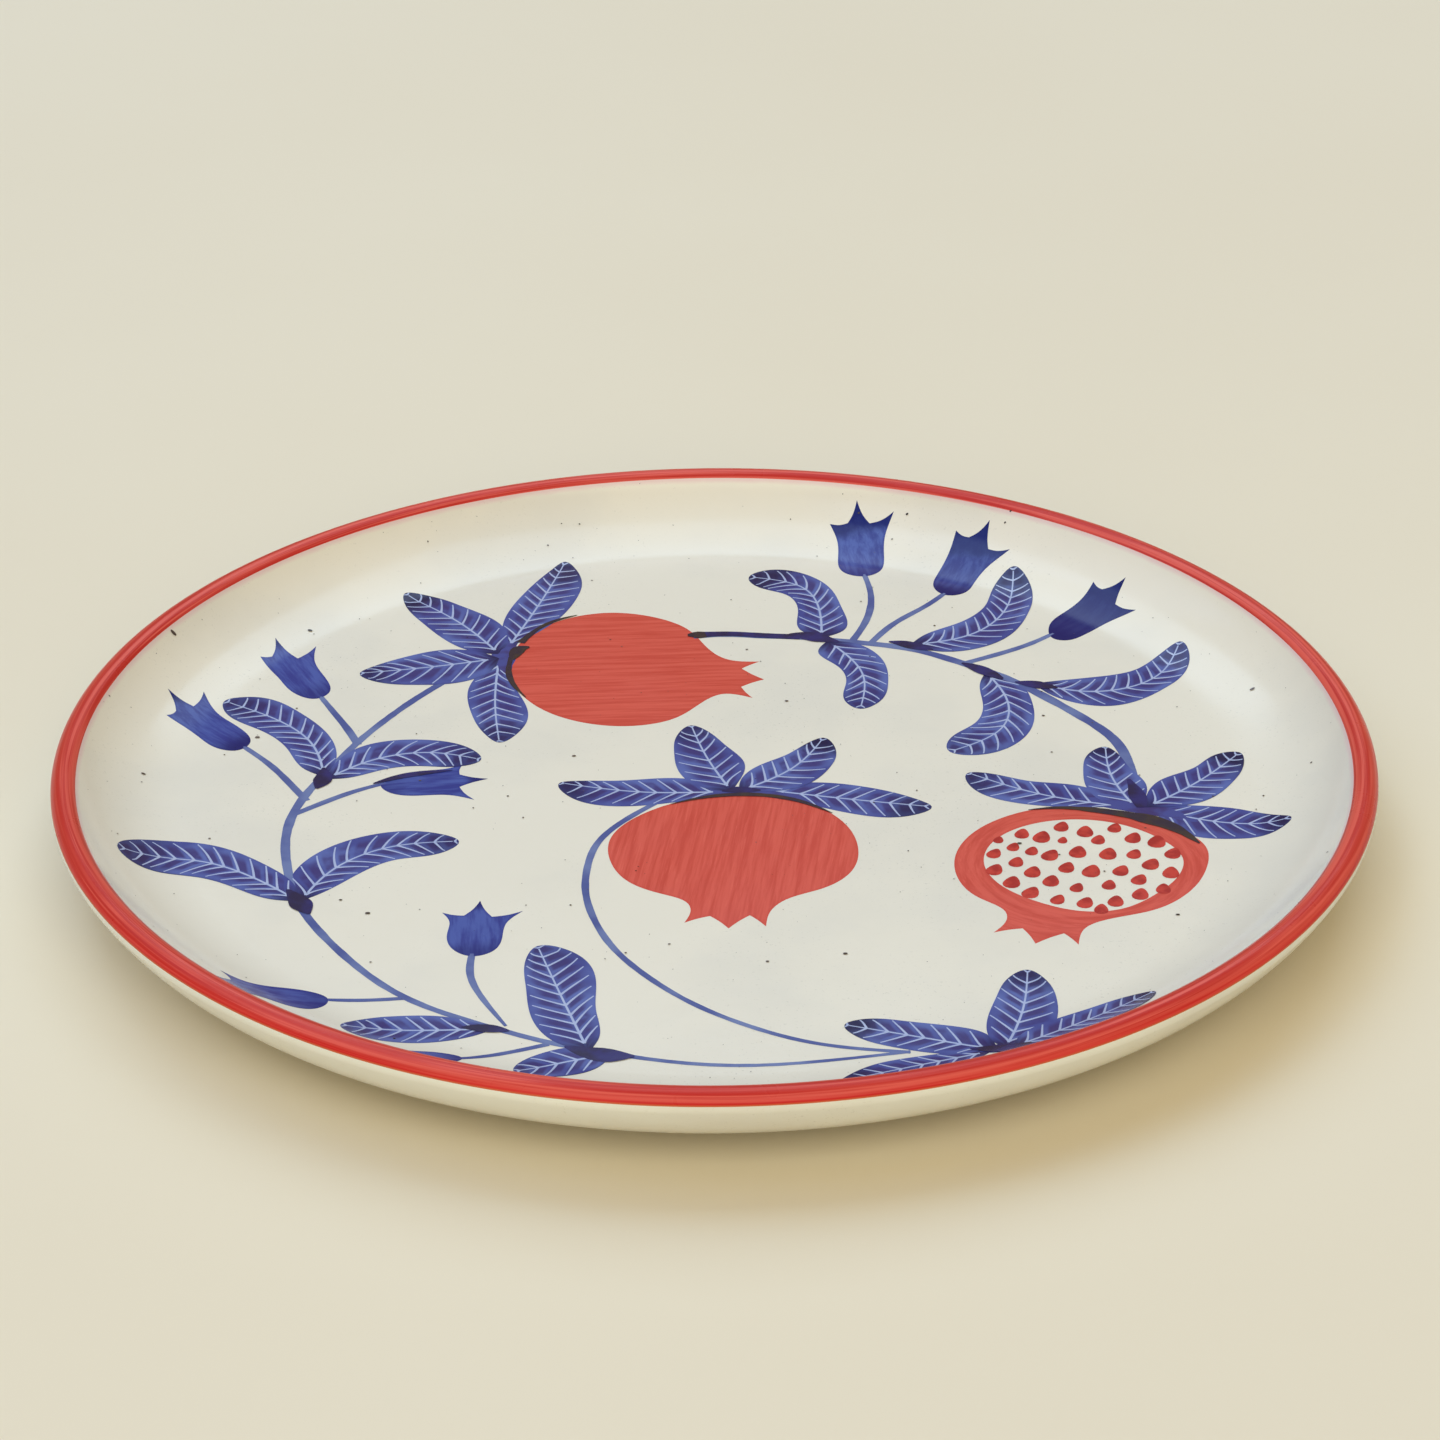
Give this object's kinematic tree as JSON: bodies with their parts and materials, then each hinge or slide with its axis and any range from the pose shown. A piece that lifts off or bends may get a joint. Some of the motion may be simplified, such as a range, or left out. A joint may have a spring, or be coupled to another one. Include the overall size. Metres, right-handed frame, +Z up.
{
  "type": "hand painted ceramic plate",
  "caption": "Shallow round dinner plate on a foot ring, white glaze with a red lip band and painted pomegranates, blue leafy vines and tulips.",
  "frame": {"origin": "on the plate's axis, in the plane that the foot ring stands on", "axes": "+Z up out of the eating side along the plate's axis; +Y towards the top of the painting, +X to its right"},
  "size_m": [0.27, 0.27, 0.022],
  "materials": {
    "bare_clay": "matte, fired and unglazed",
    "white_glaze": "glossy, warm white, faintly wavy",
    "rim_red": "glossy, coral to deep red with brush streaks",
    "fruit_red": "glossy, streaked with the brush",
    "seed_red": "glossy",
    "leaf_blue": "glossy, pale veins, dark edges",
    "tulip_blue": "glossy, darker tips",
    "vine_blue": "glossy, thin brush line"
  },
  "bodies": {
    "root": {"centre_pomegranate": "fruit_red", "centre_pomegranate_leaf_1": "leaf_blue", "centre_pomegranate_leaf_2": "leaf_blue", "centre_pomegranate_leaf_3": "leaf_blue", "centre_pomegranate_leaf_4": "leaf_blue", "clay_body": "bare_clay", "cut_pomegranate_leaf_1": "leaf_blue", "cut_pomegranate_leaf_2": "leaf_blue", "cut_pomegranate_leaf_3": "leaf_blue", "cut_pomegranate_leaf_4": "leaf_blue", "cut_pomegranate_skin": "fruit_red", "foot_recess_glaze": "white_glaze", "inner_vine": "vine_blue", "left_pomegranate": "fruit_red", "left_pomegranate_leaf_1": "leaf_blue", "left_pomegranate_leaf_2": "leaf_blue", "left_pomegranate_leaf_3": "leaf_blue", "left_pomegranate_leaf_4": "leaf_blue", "left_tulip_1": "tulip_blue", "left_tulip_2": "tulip_blue", "left_tulip_3": "tulip_blue", "left_tulip_4": "tulip_blue", "left_tulip_5": "tulip_blue", "left_tulip_6": "tulip_blue", "left_tulip_stems": "vine_blue", "left_vine": "vine_blue", "left_vine_leaf_1": "leaf_blue", "left_vine_leaf_2": "leaf_blue", "left_vine_leaf_3": "leaf_blue", "left_vine_leaf_4": "leaf_blue", "left_vine_leaf_5": "leaf_blue", "left_vine_leaf_6": "leaf_blue", "left_vine_leaf_7": "leaf_blue", "low_sprig_leaf_1": "leaf_blue", "low_sprig_leaf_2": "leaf_blue", "low_sprig_leaf_3": "leaf_blue", "low_sprig_leaf_4": "leaf_blue", "pomegranate_seeds": "seed_red", "red_rim_band": "rim_red", "top_tulip_1": "tulip_blue", "top_tulip_2": "tulip_blue", "top_tulip_3": "tulip_blue", "top_tulip_stems": "vine_blue", "top_vine": "vine_blue", "top_vine_leaf_1": "leaf_blue", "top_vine_leaf_2": "leaf_blue", "top_vine_leaf_3": "leaf_blue", "top_vine_leaf_4": "leaf_blue", "top_vine_leaf_5": "leaf_blue", "white_back_glaze": "white_glaze", "white_front_glaze": "white_glaze"}
  },
  "joints": []
}
